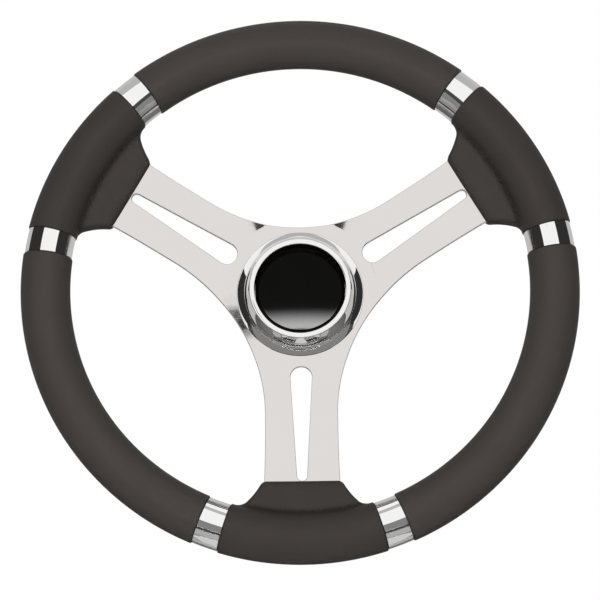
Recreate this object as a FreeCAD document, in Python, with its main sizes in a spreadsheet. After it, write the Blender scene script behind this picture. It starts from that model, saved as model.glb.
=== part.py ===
"""Stainless boat steering wheel with three slotted spokes and a sectional grip.

Every piece is modelled about a common wheel axis, its local Z. Local Z = 0 is the hub's rear
face, which meets the helm, and local +Z points at the driver. One placement then turns the
wheel upright: the driver's side faces -Y and one spoke points straight down, along -Z.
"""
import FreeCAD, Part
import Sketcher
import math
import os
from collections import namedtuple

TINY = 1e-9
SEAM_TOLERANCE = 1e-4
EDGE_TOLERANCE = 5e-3
EDGE_SHARES = (0.1, 0.5, 0.9)
MM3_PER_CM3 = 1000.0

SIZES = {
    # rim and its sections
    "wheel_diameter": 350.0,
    "grip_diameter": 31.0,
    "ring_bar_diameter": 10.0,
    "ring_bar_clearance": 0.1,
    "grip_end_radius": 0.9,
    "sleeve_diameter": 29.6,
    "sleeve_length": 15.2,
    "sleeve_angle": 20.1,
    "sleeve_end_chamfer": 0.4,
    "section_gap": 0.12,
    # spoke plate
    "dish_depth": 24.4,
    "plate_thickness": 3.0,
    "bend_circle_radius": 50.0,
    "bend_inside_radius": 4.0,
    "weld_gap": 0.05,
    "arm_half_width": 22.8,
    "arm_root_radius": 44.2,
    "arm_flare_start": 92.0,
    "arm_flare_end": 123.0,
    "arm_flare_half_width": 23.4,
    "slot_root_distance": 54.2,
    "slot_root_radius": 6.8,
    "slot_tip_distance": 119.5,
    "slot_tip_radius": 3.1,
    # moulded spoke grips
    "web_depth": 36.3,
    "web_edge_half_width": 24.6,
    "web_thickness": 11.0,
    "web_side_radius": 44.0,
    "web_side_angle": 16.6,
    "web_side_sink": 4.5,
    "web_root_radius": 3.4,
    "web_edge_radius": 2.4,
    "insert_clearance": 0.1,
    # hub
    "hub_length": 36.0,
    "hub_flange_radius": 36.5,
    "hub_flange_thickness": 8.0,
    "hub_barrel_radius": 21.0,
    "hub_neck_radius": 5.0,
    "hub_rim_chamfer": 1.0,
    "spigot_radius": 17.4,
    "spigot_length": 5.0,
    "spigot_clearance": 0.1,
    "nut_recess_radius": 14.5,
    "nut_recess_depth": 9.0,
    "taper_mouth_diameter": 19.05,
    "taper_length_ratio": 12.0,
    "key_width": 4.76,
    "key_depth": 2.4,
    "screw_count": 6,
    "screw_circle_radius": 23.5,
    "screw_radius": 2.5,
    "screw_head_radius": 4.6,
    "screw_length": 12.0,
    "screw_hole_clearance": 0.2,
    "screw_head_inset": 0.1,
    "thread_clearance": 0.05,
    "tapped_hole_depth": 7.0,
    "hex_socket_radius": 1.7,
    "hex_socket_depth": 1.8,
    # bezel and cap
    "bezel_radius": 40.4,
    "bezel_foot_height": 0.8,
    "bezel_crease_radius": 36.5,
    "bezel_crease_height": 2.3,
    "bezel_lip_radius": 32.3,
    "bezel_lip_height": 16.0,
    "bezel_mouth_radius": 28.9,
    "bezel_mouth_round": 0.4,
    "bezel_lip_round": 0.6,
    "bezel_foot_hollow": 0.1,
    "bezel_wall_bulge": 1.0,
    "bezel_floor_thickness": 2.4,
    "cap_clearance": 0.25,
    "cap_rim_height": 6.6,
    "cap_bevel_inner_radius": 26.3,
    "cap_bevel_rise": 1.1,
    "cap_dome_rise": 2.9,
    "cap_face_thickness": 2.4,
    "cap_skirt_wall": 1.8,
}

# Angles about the axis as the driver sees them: 0 to the right, 90 up.
ARMS = {"bottom": -90.0, "right": 30.0, "left": 150.0}
SLEEVES = {
    "bottom": ("bottom_right", "bottom_left"),
    "right": ("top_right", "right"),
    "left": ("left", "top_left"),
}
RIM_GRIPS = {"top": 90.0, "lower_right": -30.0, "lower_left": -150.0}
ARM_COUNT = len(ARMS)
FULL_TURN = 360.0
ARM_STEP = FULL_TURN / ARM_COUNT
CUT_REACH = 400.0
HEX_SIDES = 6
WINDOW_SIDE = 30.0
TRIM_BEYOND = 1.0

# Derived lengths, as expressions of the sheet.
SPINE = "((Sizes.wheel_diameter - Sizes.grip_diameter) / 2)"
RING_BAR = "(Sizes.ring_bar_diameter / 2)"
RING_BORE = f"({RING_BAR} + Sizes.ring_bar_clearance)"
PLATE_BACK = "Sizes.hub_length"
PLATE_FRONT = "(Sizes.hub_length + Sizes.plate_thickness)"
RIM_PLANE = "(Sizes.hub_length + Sizes.plate_thickness + Sizes.dish_depth)"
HALF_PLATE = "(Sizes.plate_thickness / 2)"
ARM_TILT = f"atan((Sizes.dish_depth + {HALF_PLATE}) / ({SPINE} - Sizes.bend_circle_radius))"
BEND = f"tan({ARM_TILT} / 2)"
FLOOR_TOP = f"({PLATE_FRONT} + Sizes.bezel_floor_thickness)"
SINK_DEPTH = "(Sizes.screw_head_radius - Sizes.screw_radius)"
PER_MM = f"(180 / (pi * {SPINE}))"
SLEEVE_TURN = f"(Sizes.sleeve_length * {PER_MM})"
GAP_TURN = f"(Sizes.section_gap * {PER_MM})"
SLEEVE_HALF = f"({SLEEVE_TURN} / 2)"
SPOKE_GRIP_HALF = f"(Sizes.sleeve_angle - {SLEEVE_HALF} - {GAP_TURN})"
RIM_GRIP_HALF = f"({ARM_STEP} / 2 - Sizes.sleeve_angle - {SLEEVE_HALF} - {GAP_TURN})"
FOOT_ANGLE = "(atan(Sizes.arm_flare_half_width / Sizes.arm_flare_end) / 1 deg)"

Arc = namedtuple("Arc", "radius turn major")


def left_arc(radius, major=False):
    """An edge that turns left with the radius of an expression."""
    return Arc(radius, 1, major)


def right_arc(radius):
    """An edge that turns right with the radius of an expression."""
    return Arc(radius, -1, False)


def bowed_radius(start, finish, depth):
    """The radius of an arc between two corners that bows from their chord by a depth."""
    chord = f"((({finish[0]}) - ({start[0]})) ^ 2 + (({finish[1]}) - ({start[1]})) ^ 2)"
    return f"({chord} / (8 * {depth}) + {depth} / 2)"


def make_sheet(doc):
    """The sheet of driving dimensions, one aliased cell each."""
    sheet = doc.addObject("Spreadsheet::Sheet", "Sizes")
    for row, (name, value) in enumerate(SIZES.items(), start=1):
        sheet.set(f"A{row}", name)
        sheet.set(f"B{row}", str(value))
        sheet.setAlias(f"B{row}", name)
    doc.recompute()
    return sheet


def value_of(owner, expression):
    """The plain number that an expression of the sheet stands for."""
    result = owner.evalExpression(expression)
    return float(getattr(result, "Value", result))


def bind(feature, **expressions):
    """Tie properties of a feature to expressions of the sheet."""
    for name, expression in expressions.items():
        feature.setExpression(name, expression)
    return feature


def new_body(doc, label):
    """An empty body with the piece's own name."""
    body = doc.addObject("PartDesign::Body", label)
    body.Label = label
    return body


def new_sketch(body, role, name, height=None):
    """A sketch on one of the body's own planes, lifted along Z by an expression if given."""
    plane = next(item for item in body.Origin.OriginFeatures if item.Role == role)
    sketch = body.newObject("Sketcher::SketchObject", name)
    sketch.AttachmentSupport = [(plane, "")]
    sketch.MapMode = "FlatFace"
    if height is not None:
        sketch.setExpression("AttachmentOffset.Base.z", height)
    return sketch


def bind_constraint(sketch, constraint, expression):
    """Add a constraint and tie its value to an expression."""
    index = sketch.addConstraint(constraint)
    sketch.setExpression(f"Constraints[{index}]", expression)


def pin_point(sketch, geometry, end, corner):
    """Hold one end of an edge at a corner that two expressions give."""
    for kind, expression, axis in (("DistanceX", corner[0], -2), ("DistanceY", corner[1], -1)):
        value = value_of(sketch, expression)
        if abs(value) < TINY:
            sketch.addConstraint(Sketcher.Constraint("PointOnObject", geometry, end, axis))
        else:
            constraint = Sketcher.Constraint(kind, -1, 1, geometry, end, value)
            bind_constraint(sketch, constraint, expression)


def arc_middle(start, finish, radius, turn, major):
    """The point halfway along an arc between two points."""
    chord = finish - start
    left = FreeCAD.Vector(-chord.y, chord.x, 0).normalize()
    offset = math.sqrt(max(radius ** 2 - (chord.Length / 2) ** 2, 0.0))
    side = -turn if major else turn
    centre = (start + finish) * 0.5 + left * (side * offset)
    return centre - left * (turn * radius)


def draw_outline(sketch, steps):
    """A closed outline: corners as pairs of expressions, with an arc between two where given."""
    corners = [step for step in steps if not isinstance(step, Arc)]
    arcs = {}
    for place, step in enumerate(steps):
        if isinstance(step, Arc):
            arcs[sum(1 for item in steps[:place] if not isinstance(item, Arc)) - 1] = step
    points = [FreeCAD.Vector(value_of(sketch, x), value_of(sketch, y), 0) for x, y in corners]
    starts = []
    for number, start in enumerate(points):
        finish = points[(number + 1) % len(points)]
        if number in arcs:
            radius = value_of(sketch, arcs[number].radius)
            middle = arc_middle(start, finish, radius, arcs[number].turn, arcs[number].major)
            edge = sketch.addGeometry(Part.Arc(start, middle, finish))
        else:
            edge = sketch.addGeometry(Part.LineSegment(start, finish))
        forward = (sketch.getPoint(edge, 1) - start).Length < SEAM_TOLERANCE
        starts.append((edge, 1 if forward else 2))
    for number, (edge, end) in enumerate(starts):
        before, before_start = starts[number - 1]
        join = Sketcher.Constraint("Coincident", before, 3 - before_start, edge, end)
        sketch.addConstraint(join)
        pin_point(sketch, edge, end, corners[number])
        if number in arcs:
            radius = value_of(sketch, arcs[number].radius)
            constraint = Sketcher.Constraint("Radius", edge, radius)
            bind_constraint(sketch, constraint, arcs[number].radius)
    return sketch


def draw_circle(sketch, x, y, radius):
    """A full circle whose centre and radius are expressions."""
    centre = FreeCAD.Vector(value_of(sketch, x), value_of(sketch, y), 0)
    size = value_of(sketch, radius)
    edge = sketch.addGeometry(Part.Circle(centre, FreeCAD.Vector(0, 0, 1), size))
    pin_point(sketch, edge, 3, (x, y))
    bind_constraint(sketch, Sketcher.Constraint("Radius", edge, size), radius)
    return sketch


def turn_about_axis(body, kind, sketch, name, half_angle=None):
    """Revolve a sketch of the XZ plane about the wheel's axis, whole or both ways by an angle."""
    feature = body.newObject(kind, name)
    feature.Profile = sketch
    feature.ReferenceAxis = (sketch, ["V_Axis"])
    if half_angle is None:
        feature.Angle = FULL_TURN
    else:
        feature.Midplane = True
        feature.setExpression("Angle", f"2 * {half_angle}")
    body.Tip = feature
    return feature


def cut_through(body, sketch, name):
    """Cut a sketch of the XY plane through the whole body, both ways."""
    feature = body.newObject("PartDesign::Pocket", name)
    feature.Profile = sketch
    feature.Midplane = True
    feature.Type = "Length"
    feature.Length = CUT_REACH
    body.Tip = feature
    return feature


def repeat_round(body, feature, name, count):
    """Repeat a cut evenly about the wheel's axis."""
    pattern = body.newObject("PartDesign::PolarPattern", name)
    pattern.Originals = [feature]
    axis = next(item for item in body.Origin.OriginFeatures if item.Role == "Z_Axis")
    pattern.Axis = (axis, [""])
    pattern.Angle = FULL_TURN
    pattern.setExpression("Occurrences", str(count))
    body.Tip = pattern
    return pattern


def stand_up(piece, angle=0.0, height="0"):
    """Turn a piece about the wheel's axis, lift it along it and stand the wheel upright."""
    upright = FreeCAD.Rotation(FreeCAD.Vector(1, 0, 0), 90)
    turned = FreeCAD.Rotation(FreeCAD.Vector(0, 0, 1), angle)
    piece.Placement = FreeCAD.Placement(FreeCAD.Vector(), upright.multiply(turned))
    piece.setExpression("Placement.Base.y", f"-{height}")
    return piece


def along_arm(distance, side):
    """A point of the wheel's plane, given by its distance along the right arm and beside it."""
    x = f"({distance}) * cos({WINDOW_SIDE}) - ({side}) * sin({WINDOW_SIDE})"
    y = f"({distance}) * sin({WINDOW_SIDE}) + ({side}) * cos({WINDOW_SIDE})"
    return x, y


def mirrored(corner):
    """The same corner on the other side of the sketch's Y axis."""
    return f"-({corner[0]})", corner[1]


def below(corner):
    """The same corner on the other side of the sketch's X axis."""
    return corner[0], f"-({corner[1]})"


def plate_section():
    """Radius and height round the dished sheet: flat seat, bend and the cone of the arms."""
    back_bend = f"(Sizes.bend_inside_radius + Sizes.plate_thickness) * {BEND}"
    front_bend = f"Sizes.bend_inside_radius * {BEND}"
    bend_start = f"Sizes.bend_circle_radius - (Sizes.bend_inside_radius + {HALF_PLATE}) * {BEND}"
    back_corner = f"Sizes.bend_circle_radius + {HALF_PLATE} * {BEND}"
    front_corner = f"Sizes.bend_circle_radius - {HALF_PLATE} * {BEND}"
    end_inset = f"({RING_BAR} + Sizes.weld_gap)"
    end_radius = f"{SPINE} - {end_inset} * cos({ARM_TILT})"
    end_height = f"{RIM_PLANE} - {end_inset} * sin({ARM_TILT})"
    half_across = f"{HALF_PLATE} * sin({ARM_TILT})"
    half_up = f"{HALF_PLATE} * cos({ARM_TILT})"
    bore = "Sizes.spigot_radius + Sizes.spigot_clearance"
    return [
        (bore, PLATE_BACK),
        (bend_start, PLATE_BACK),
        left_arc("Sizes.bend_inside_radius + Sizes.plate_thickness"),
        (f"{back_corner} + {back_bend} * cos({ARM_TILT})", f"{PLATE_BACK} + {back_bend} * sin({ARM_TILT})"),
        (f"{end_radius} + {half_across}", f"{end_height} - {half_up}"),
        (f"{end_radius} - {half_across}", f"{end_height} + {half_up}"),
        (f"{front_corner} + {front_bend} * cos({ARM_TILT})", f"{PLATE_FRONT} + {front_bend} * sin({ARM_TILT})"),
        right_arc("Sizes.bend_inside_radius"),
        (bend_start, PLATE_FRONT),
        (bore, PLATE_FRONT),
    ]


def window_outline():
    """The opening between two arms: a round root, straight sides and a slight flare."""
    lean = f"cos({WINDOW_SIDE})"
    root_radius = f"((Sizes.arm_root_radius * {lean} - Sizes.arm_half_width) / (1 - {lean}))"
    root_reach = f"(Sizes.arm_root_radius + {root_radius}) / 2"
    run = "(Sizes.arm_flare_end - Sizes.arm_flare_start)"
    gain = "(Sizes.arm_flare_half_width - Sizes.arm_half_width)"
    flare_radius = f"({run} ^ 2 + {gain} ^ 2) / (2 * {gain})"
    root = along_arm(root_reach, "Sizes.arm_half_width")
    flare = along_arm("Sizes.arm_flare_start", "Sizes.arm_half_width")
    foot = along_arm("Sizes.arm_flare_end", "Sizes.arm_flare_half_width")
    tip = along_arm(SPINE, f"{SPINE} * Sizes.arm_flare_half_width / Sizes.arm_flare_end")
    corner = (tip[0], "Sizes.wheel_diameter / 2")
    return [
        mirrored(root),
        left_arc(root_radius),
        root,
        flare,
        left_arc(flare_radius),
        foot,
        tip,
        corner,
        mirrored(corner),
        mirrored(tip),
        mirrored(foot),
        left_arc(flare_radius),
        mirrored(flare),
    ]


def slot_outline():
    """The tapered slot of the lowest arm, wide and round at its root, narrow at its tip."""
    length = "(Sizes.slot_tip_distance - Sizes.slot_root_distance)"
    lean = f"asin((Sizes.slot_root_radius - Sizes.slot_tip_radius) / {length})"
    root_side = f"Sizes.slot_root_radius * cos({lean})"
    root_y = f"-(Sizes.slot_root_distance + Sizes.slot_root_radius * sin({lean}))"
    tip_side = f"Sizes.slot_tip_radius * cos({lean})"
    tip_y = f"-(Sizes.slot_tip_distance + Sizes.slot_tip_radius * sin({lean}))"
    return [
        (root_side, root_y),
        left_arc("Sizes.slot_root_radius", major=True),
        (f"-({root_side})", root_y),
        (f"-({tip_side})", tip_y),
        left_arc("Sizes.slot_tip_radius"),
        (tip_side, tip_y),
    ]


def build_spoke_plate(doc):
    """The pressed stainless spider: a dished blank with windows, slots and screw holes cut."""
    body = new_body(doc, "spoke_plate")
    section = draw_outline(new_sketch(body, "XZ_Plane", "plate_section"), plate_section())
    turn_about_axis(body, "PartDesign::Revolution", section, "plate_blank")
    window = draw_outline(new_sketch(body, "XY_Plane", "window_outline"), window_outline())
    window_cut = cut_through(body, window, "window_cut")
    repeat_round(body, window_cut, "window_cuts", ARM_COUNT)
    slot = draw_outline(new_sketch(body, "XY_Plane", "slot_outline"), slot_outline())
    slot_cut = cut_through(body, slot, "slot_cut")
    repeat_round(body, slot_cut, "slot_cuts", ARM_COUNT)
    hole = new_sketch(body, "XY_Plane", "screw_hole")
    draw_circle(hole, "Sizes.screw_circle_radius", "0", "Sizes.screw_radius + Sizes.screw_hole_clearance")
    hole_cut = cut_through(body, hole, "screw_hole_cut")
    repeat_round(body, hole_cut, "screw_hole_cuts", "Sizes.screw_count")
    return stand_up(body)


def build_rim_ring(doc):
    """The round bar ring that the arms are welded to and the rim sections enclose."""
    ring = doc.addObject("Part::Torus", "rim_ring")
    ring.Label = "rim_ring"
    bind(ring, Radius1=SPINE, Radius2=RING_BAR)
    return stand_up(ring, height=RIM_PLANE)


def rim_section(doc, label, angle, half_angle, radius):
    """A length of the rim's round section with the ring's bore through it."""
    body = new_body(doc, label)
    circles = new_sketch(body, "XZ_Plane", f"{label}_section")
    draw_circle(circles, SPINE, "0", radius)
    draw_circle(circles, SPINE, "0", RING_BORE)
    turned = turn_about_axis(body, "PartDesign::Revolution", circles, f"{label}_turned", half_angle)
    stand_up(body, angle, RIM_PLANE)
    return body, turned


def end_edges(shape, spine, radius):
    """Names of the two outer circles at the ends of a rim section."""
    names = []
    for number, edge in enumerate(shape.Edges, start=1):
        if isinstance(edge.Curve, Part.Circle) and abs(edge.Curve.Radius - radius) < SEAM_TOLERANCE:
            if abs(edge.Curve.Center.Length - spine) < SEAM_TOLERANCE:
                names.append(f"Edge{number}")
    return names


def build_rim_grip(doc, label, angle):
    """A long smooth grip section between two sleeves, its ends slightly rounded."""
    body, turned = rim_section(doc, label, angle, RIM_GRIP_HALF, "Sizes.grip_diameter / 2")
    doc.recompute()
    edges = end_edges(turned.Shape, value_of(body, SPINE), value_of(body, "Sizes.grip_diameter / 2"))
    rounding = body.newObject("PartDesign::Fillet", f"{label}_ends")
    rounding.Base = (turned, edges)
    bind(rounding, Radius="Sizes.grip_end_radius")
    body.Tip = rounding
    return body


def build_sleeve(doc, label, angle):
    """A bright trim sleeve between two grip sections, its ends chamfered."""
    body, turned = rim_section(doc, label, angle, SLEEVE_HALF, "Sizes.sleeve_diameter / 2")
    doc.recompute()
    edges = end_edges(turned.Shape, value_of(body, SPINE), value_of(body, "Sizes.sleeve_diameter / 2"))
    chamfer = body.newObject("PartDesign::Chamfer", f"{label}_ends")
    chamfer.Base = (turned, edges)
    bind(chamfer, Size="Sizes.sleeve_end_chamfer")
    body.Tip = chamfer
    return body


def blade_section(half_thickness, start, finish):
    """A strip that follows the arm's cone, between two distances along it from the ring."""
    corners = []
    for distance, side in ((start, -1), (finish, -1), (finish, 1), (start, 1)):
        radius = f"{SPINE} - ({distance}) * cos({ARM_TILT}) - {side} * ({half_thickness}) * sin({ARM_TILT})"
        height = f"-({distance}) * sin({ARM_TILT}) + {side} * ({half_thickness}) * cos({ARM_TILT})"
        corners.append((radius, height))
    return corners


def web_trim_outline():
    """What is cut from the blank of the web: the straight edge and the two hollow sides."""
    side_reach = f"({SPINE} - Sizes.grip_diameter / 2 + Sizes.web_side_sink)"
    side_x = f"{side_reach} * cos(Sizes.web_side_angle)"
    side_y = f"{side_reach} * sin(Sizes.web_side_angle)"
    root_x = f"{SPINE} * cos(Sizes.web_side_angle)"
    root_y = f"{SPINE} * sin(Sizes.web_side_angle)"
    outer_x = f"{SPINE} * cos({SPOKE_GRIP_HALF} + {TRIM_BEYOND})"
    outer_y = f"{SPINE} * sin({SPOKE_GRIP_HALF} + {TRIM_BEYOND})"
    edge_x = f"({SPINE} - Sizes.web_depth)"
    inner_x = f"{edge_x} / 2"
    edge = (edge_x, "Sizes.web_edge_half_width")
    upper = [edge, (side_x, side_y), (root_x, root_y), (outer_x, outer_y), (inner_x, outer_y)]
    return [
        below(edge),
        edge,
        right_arc("Sizes.web_side_radius"),
        *upper[1:],
        *[below(corner) for corner in reversed(upper[1:])],
        right_arc("Sizes.web_side_radius"),
    ]


def off_rim_line(point, spine):
    """How far a point lies from the centre line of the rim's round section."""
    return math.hypot(math.hypot(point.x, point.y) - spine, point.z)


def web_edges(body, shape, at_root):
    """Names of the edges where the web meets the round section, or of its other edges."""
    spine = value_of(body, SPINE)
    radius = value_of(body, "Sizes.grip_diameter / 2")
    end_angle = math.radians(value_of(body, SPOKE_GRIP_HALF)) - EDGE_TOLERANCE
    names = []
    for number, edge in enumerate(shape.Edges, start=1):
        if edge.Degenerated:
            continue
        span = edge.LastParameter - edge.FirstParameter
        points = [edge.valueAt(edge.FirstParameter + span * share) for share in EDGE_SHARES]
        middle = points[1]
        on_rim = all(abs(off_rim_line(point, spine) - radius) < EDGE_TOLERANCE for point in points)
        inside = math.hypot(middle.x, middle.y) < spine
        between_ends = abs(math.atan2(middle.y, middle.x)) < end_angle
        if at_root and on_rim and inside and between_ends:
            names.append(f"Edge{number}")
        if not at_root and not on_rim and off_rim_line(middle, spine) > radius:
            names.append(f"Edge{number}")
    return names


def round_edges(body, feature, edges, name, radius):
    """Round the named edges of a feature with a bound radius."""
    rounding = body.newObject("PartDesign::Fillet", name)
    rounding.Base = (feature, edges)
    bind(rounding, Radius=radius)
    body.Tip = rounding
    return rounding


def build_spoke_grip(doc, label, angle):
    """The moulded grip that swells from the rim over the end of an arm."""
    body = new_body(doc, label)
    web_reach = "Sizes.web_depth + Sizes.web_thickness"
    blade = blade_section("Sizes.web_thickness / 2", web_reach, "0")
    web = draw_outline(new_sketch(body, "XZ_Plane", f"{label}_web_section"), blade)
    turn_about_axis(body, "PartDesign::Revolution", web, f"{label}_web", SPOKE_GRIP_HALF)
    trim = draw_outline(new_sketch(body, "XY_Plane", f"{label}_trim_outline"), web_trim_outline())
    cut_through(body, trim, f"{label}_trim")
    circle = new_sketch(body, "XZ_Plane", f"{label}_rim_circle")
    draw_circle(circle, SPINE, "0", "Sizes.grip_diameter / 2")
    rim = turn_about_axis(body, "PartDesign::Revolution", circle, f"{label}_rim", SPOKE_GRIP_HALF)
    doc.recompute()
    edges = web_edges(body, rim.Shape, at_root=False)
    soft = round_edges(body, rim, edges, f"{label}_web_edges", "Sizes.web_edge_radius")
    doc.recompute()
    edges = web_edges(body, soft.Shape, at_root=True)
    round_edges(body, soft, edges, f"{label}_web_root", "Sizes.web_root_radius")
    bore = new_sketch(body, "XZ_Plane", f"{label}_ring_bore_circle")
    draw_circle(bore, SPINE, "0", RING_BORE)
    turn_about_axis(body, "PartDesign::Groove", bore, f"{label}_ring_bore", SPOKE_GRIP_HALF)
    pocket_half = f"{HALF_PLATE} + Sizes.insert_clearance"
    pocket = blade_section(pocket_half, web_reach, f"{RING_BAR} / 2")
    insert = draw_outline(new_sketch(body, "XZ_Plane", f"{label}_arm_pocket_section"), pocket)
    pocket_angle = f"({FOOT_ANGLE} + Sizes.insert_clearance * {PER_MM})"
    turn_about_axis(body, "PartDesign::Groove", insert, f"{label}_arm_pocket", pocket_angle)
    return stand_up(body, angle, RIM_PLANE)


def bezel_section():
    """Radius and height round the bezel: floor, flared foot, wall, flat lip and straight mouth."""
    opening = "Sizes.spigot_radius + Sizes.spigot_clearance"
    lip = f"{PLATE_FRONT} + Sizes.bezel_lip_height"
    foot = ("Sizes.bezel_radius", f"{PLATE_FRONT} + Sizes.bezel_foot_height")
    crease = ("Sizes.bezel_crease_radius", f"{PLATE_FRONT} + Sizes.bezel_crease_height")
    lip_side = ("Sizes.bezel_lip_radius", f"{lip} - Sizes.bezel_lip_round")
    return [
        (opening, PLATE_FRONT),
        ("Sizes.bezel_radius", PLATE_FRONT),
        foot,
        right_arc(bowed_radius(foot, crease, "Sizes.bezel_foot_hollow")),
        crease,
        left_arc(bowed_radius(crease, lip_side, "Sizes.bezel_wall_bulge")),
        lip_side,
        left_arc("Sizes.bezel_lip_round"),
        ("Sizes.bezel_lip_radius - Sizes.bezel_lip_round", lip),
        ("Sizes.bezel_mouth_radius + Sizes.bezel_mouth_round", lip),
        left_arc("Sizes.bezel_mouth_round"),
        ("Sizes.bezel_mouth_radius", f"{lip} - Sizes.bezel_mouth_round"),
        ("Sizes.bezel_mouth_radius", FLOOR_TOP),
        (opening, FLOOR_TOP),
    ]


def build_hub_bezel(doc):
    """The turned bright ring round the cap, held down by the hub screws through its floor."""
    body = new_body(doc, "hub_bezel")
    section = draw_outline(new_sketch(body, "XZ_Plane", "bezel_section"), bezel_section())
    turn_about_axis(body, "PartDesign::Revolution", section, "bezel_turned")
    sink = body.newObject("PartDesign::SubtractiveCone", "screw_sink")
    bind(
        sink,
        Radius1="Sizes.screw_radius + Sizes.screw_hole_clearance",
        Radius2="Sizes.screw_head_radius + Sizes.screw_hole_clearance",
        Height=SINK_DEPTH,
    )
    sink.setExpression("Placement.Base.x", "Sizes.screw_circle_radius")
    sink.setExpression("Placement.Base.z", f"{FLOOR_TOP} - {SINK_DEPTH}")
    body.Tip = sink
    repeat_round(body, sink, "screw_sinks", "Sizes.screw_count")
    hole = new_sketch(body, "XY_Plane", "screw_hole")
    draw_circle(hole, "Sizes.screw_circle_radius", "0", "Sizes.screw_radius + Sizes.screw_hole_clearance")
    hole_cut = cut_through(body, hole, "screw_hole_cut")
    repeat_round(body, hole_cut, "screw_hole_cuts", "Sizes.screw_count")
    return stand_up(body)


def cap_section():
    """Radius and height round the cap: hollow back, skirt, bevel and dome."""
    edge = "(Sizes.bezel_mouth_radius - Sizes.cap_clearance)"
    skirt_inside = f"{edge} - Sizes.cap_skirt_wall"
    rim_top = f"{FLOOR_TOP} + Sizes.cap_rim_height"
    crease = f"({rim_top} + Sizes.cap_bevel_rise)"
    hollow_top = f"{crease} - Sizes.cap_face_thickness"
    dome = "(Sizes.cap_bevel_inner_radius ^ 2 + Sizes.cap_dome_rise ^ 2) / (2 * Sizes.cap_dome_rise)"
    return [
        ("0", hollow_top),
        (skirt_inside, hollow_top),
        (skirt_inside, FLOOR_TOP),
        (edge, FLOOR_TOP),
        (edge, rim_top),
        ("Sizes.cap_bevel_inner_radius", crease),
        left_arc(dome),
        ("0", f"{crease} + Sizes.cap_dome_rise"),
    ]


def build_centre_cap(doc):
    """The push-in centre cap: a bevelled low dome on a hollow skirt, plain with no mark."""
    body = new_body(doc, "centre_cap")
    section = draw_outline(new_sketch(body, "XZ_Plane", "cap_section"), cap_section())
    turn_about_axis(body, "PartDesign::Revolution", section, "cap_turned")
    return stand_up(body)


def hub_section():
    """Radius and height round the hub: tapered bore, barrel, flange, spigot and nut recess."""
    mouth = "Sizes.taper_mouth_diameter / 2"
    recess_floor = f"({PLATE_BACK} - Sizes.nut_recess_depth)"
    flange_back = f"{PLATE_BACK} - Sizes.hub_flange_thickness"
    spigot_top = f"{PLATE_BACK} + Sizes.spigot_length"
    taper_end = f"{mouth} - {recess_floor} / (2 * Sizes.taper_length_ratio)"
    return [
        (mouth, "0"),
        ("Sizes.hub_barrel_radius", "0"),
        ("Sizes.hub_barrel_radius", flange_back),
        ("Sizes.hub_flange_radius", flange_back),
        ("Sizes.hub_flange_radius", PLATE_BACK),
        ("Sizes.spigot_radius", PLATE_BACK),
        ("Sizes.spigot_radius", spigot_top),
        ("Sizes.nut_recess_radius", spigot_top),
        ("Sizes.nut_recess_radius", recess_floor),
        (taper_end, recess_floor),
    ]


def keyway_outline():
    """The keyway's square section, from inside the bore out to its full depth."""
    half = "Sizes.key_width / 2"
    top = "Sizes.taper_mouth_diameter / 2 + Sizes.key_depth"
    return [(f"-{half}", "0"), (half, "0"), (half, top), (f"-{half}", top)]


def circles_at(body, shape, radius, height):
    """Names of the full circles of a shape with a given radius and height."""
    names = []
    for number, edge in enumerate(shape.Edges, start=1):
        if edge.Degenerated or not isinstance(edge.Curve, Part.Circle):
            continue
        right_size = abs(edge.Curve.Radius - value_of(body, radius)) < EDGE_TOLERANCE
        if right_size and abs(edge.Curve.Center.z - value_of(body, height)) < EDGE_TOLERANCE:
            names.append(f"Edge{number}")
    return names


def build_hub_boss(doc):
    """The turned aluminium hub: taper and keyway for the helm's shaft, flange for the plate."""
    body = new_body(doc, "hub_boss")
    section = draw_outline(new_sketch(body, "XZ_Plane", "hub_section"), hub_section())
    turned = turn_about_axis(body, "PartDesign::Revolution", section, "hub_turned")
    doc.recompute()
    flange_back = f"{PLATE_BACK} - Sizes.hub_flange_thickness"
    neck = circles_at(body, turned.Shape, "Sizes.hub_barrel_radius", flange_back)
    rounded = round_edges(body, turned, neck, "hub_neck", "Sizes.hub_neck_radius")
    doc.recompute()
    rims = circles_at(body, rounded.Shape, "Sizes.hub_barrel_radius", "0")
    rims += circles_at(body, rounded.Shape, "Sizes.hub_flange_radius", flange_back)
    chamfer = body.newObject("PartDesign::Chamfer", "hub_rims")
    chamfer.Base = (rounded, rims)
    bind(chamfer, Size="Sizes.hub_rim_chamfer")
    body.Tip = chamfer
    keyway = draw_outline(new_sketch(body, "XY_Plane", "keyway_outline"), keyway_outline())
    cut_through(body, keyway, "keyway")
    hole = new_sketch(body, "XY_Plane", "tapped_hole", PLATE_BACK)
    draw_circle(hole, "Sizes.screw_circle_radius", "0", "Sizes.screw_radius + Sizes.thread_clearance")
    tapped = body.newObject("PartDesign::Pocket", "tapped_hole_cut")
    tapped.Profile = hole
    bind(tapped, Length="Sizes.tapped_hole_depth")
    body.Tip = tapped
    repeat_round(body, tapped, "tapped_holes", "Sizes.screw_count")
    return stand_up(body)


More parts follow.
